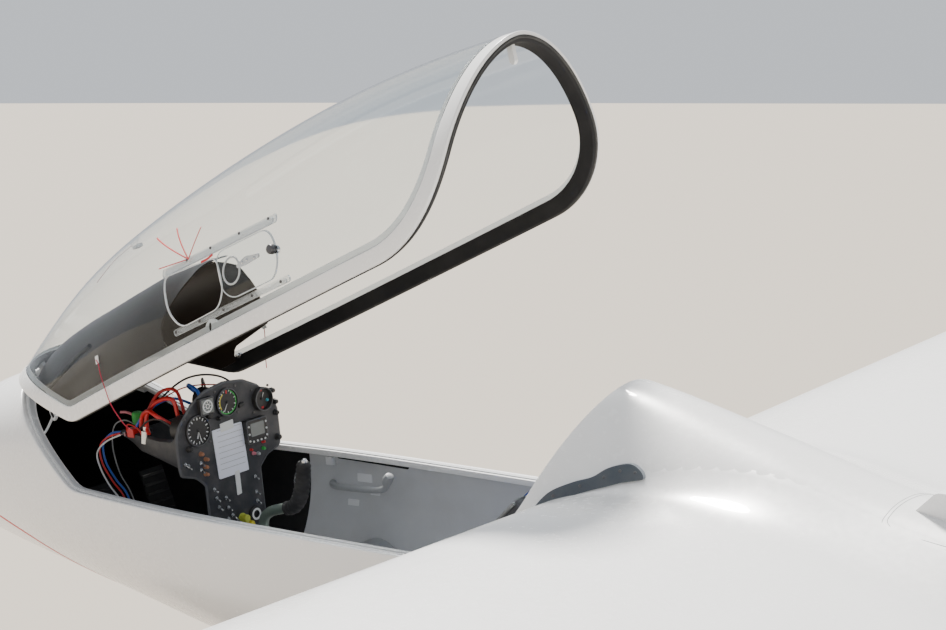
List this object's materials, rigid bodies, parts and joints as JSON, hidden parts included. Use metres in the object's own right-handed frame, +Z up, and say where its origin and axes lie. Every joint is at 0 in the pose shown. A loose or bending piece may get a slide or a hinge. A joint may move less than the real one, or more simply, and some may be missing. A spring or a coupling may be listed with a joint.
{
  "type": "single-seat aerobatic sailplane",
  "caption": "Single-seat T-tail sailplane with its canopy raised, parked on main wheel, tail wheel and one wing tip skid.",
  "frame": {"origin": "bottom centre of the bounding box, on the ground it parks on", "axes": "+X aft, +Y to starboard, +Z up from the ground; the airframe leans 8.2 degrees about +X onto its left wing tip"},
  "size_m": [6.843, 13.0672, 1.9648],
  "materials": {
    "gelcoat": "glossy",
    "rubber": "matte",
    "tyre": "matte",
    "black": "matte",
    "panel": "matte",
    "lining": "satin",
    "strake": "matte",
    "steel": "satin",
    "stick": "satin",
    "lever": "satin",
    "glass": "clear",
    "cushion": "woven",
    "strap": "woven",
    "paper": "matte"
  },
  "bodies": {
    "airframe": {"fuselage_pod": "gelcoat", "root_strake_left": "strake", "root_strake_right": "strake", "air_outlet": "gelcoat", "tow_hook": "black", "gear_legs": "steel", "main_axle": "steel", "gear_door_left": "gelcoat", "gear_door_right": "gelcoat", "tail_boom": "gelcoat", "tail_axle": "steel", "fin": "gelcoat", "stabilizer": "gelcoat", "energy_probe": "steel", "wing_left": "gelcoat", "tip_skid_left": "rubber", "wing_right": "gelcoat", "tip_skid_right": "rubber", "seat_pan": "lining", "seat_back": "lining", "cockpit_floor": "lining", "back_cushion": "cushion", "instrument_panel": "panel", "instrument_pod": "panel", "altimeter": "black", "airspeed_indicator": "black", "compass_dial": "black", "radio": "black", "logger_display": "black", "task_card": "paper", "control_stick": "stick", "rudder_pedal_left": "steel", "rudder_pedal_right": "steel", "airbrake_lever": "lever", "gear_lever": "black", "shoulder_strap_left": "strap", "shoulder_strap_right": "strap", "lap_strap_left": "strap", "lap_strap_right": "strap"},
    "canopy": {"canopy_frame": "gelcoat", "canopy_glass": "glass", "canopy_hinge": "steel", "glare_shield": "black", "clear_view_window": "glass", "window_rail_upper": "glass", "window_rail_lower": "glass"},
    "main_wheel": {"main_rim": "steel", "main_tyre": "tyre"},
    "tail_wheel": {"tail_rim": "steel", "tail_tyre": "tyre"},
    "left_aileron": {"aileron_left": "gelcoat"},
    "right_aileron": {"aileron_right": "gelcoat"},
    "left_airbrake": {"airbrake_left": "gelcoat"},
    "right_airbrake": {"airbrake_right": "gelcoat"},
    "elevator": {"elevator": "gelcoat"},
    "rudder": {"rudder": "gelcoat"}
  },
  "joints": [
    {"name": "canopy_lift", "type": "hinge", "parent": "airframe", "child": "canopy", "pos_m": [-2.9645, 0.01535, 0.90626], "axis": [0, -0.9898, -0.1426], "range_deg": [-22.5, 12]},
    {"name": "main_wheel_spin", "type": "hinge", "parent": "airframe", "child": "main_wheel", "pos_m": [-1.4345, 0.1209, 0.17382], "axis": [0, 0.9898, 0.1426], "continuous": true},
    {"name": "tail_wheel_spin", "type": "hinge", "parent": "airframe", "child": "tail_wheel", "pos_m": [2.9055, 0.13165, 0.0992], "axis": [0, 0.9898, 0.1426], "continuous": true},
    {"name": "left_aileron_turn", "type": "hinge", "parent": "airframe", "child": "left_aileron", "pos_m": [-0.5599, -3.84311, 0.33841], "axis": [-0.0788, -0.9915, -0.1038], "range_deg": [-22, 22]},
    {"name": "right_aileron_turn", "type": "hinge", "parent": "airframe", "child": "right_aileron", "pos_m": [-0.5599, 3.87715, 1.45091], "axis": [-0.0788, 0.9804, 0.1804], "range_deg": [-22, 22]},
    {"name": "elevator_turn", "type": "hinge", "parent": "airframe", "child": "elevator", "pos_m": [3.2035, -0.06124, 1.43777], "axis": [0, 0.9898, 0.1426], "range_deg": [-25, 20]},
    {"name": "rudder_turn", "type": "hinge", "parent": "airframe", "child": "rudder", "pos_m": [3.1125, 0.10307, 0.29755], "axis": [0.056, -0.1424, 0.9882], "range_deg": [-30, 30]},
    {"name": "left_airbrake_slide", "type": "slide", "parent": "airframe", "child": "left_airbrake", "axis": [0, -0.1426, 0.9898], "range_m": [0, 0.084]},
    {"name": "right_airbrake_slide", "type": "slide", "parent": "airframe", "child": "right_airbrake", "axis": [0, -0.1426, 0.9898], "range_m": [0, 0.084]}
  ],
  "couplings": [
    {"joint": "right_aileron_turn", "follows": "left_aileron_turn", "ratio": 1},
    {"joint": "right_airbrake_slide", "follows": "left_airbrake_slide", "ratio": 1}
  ]
}
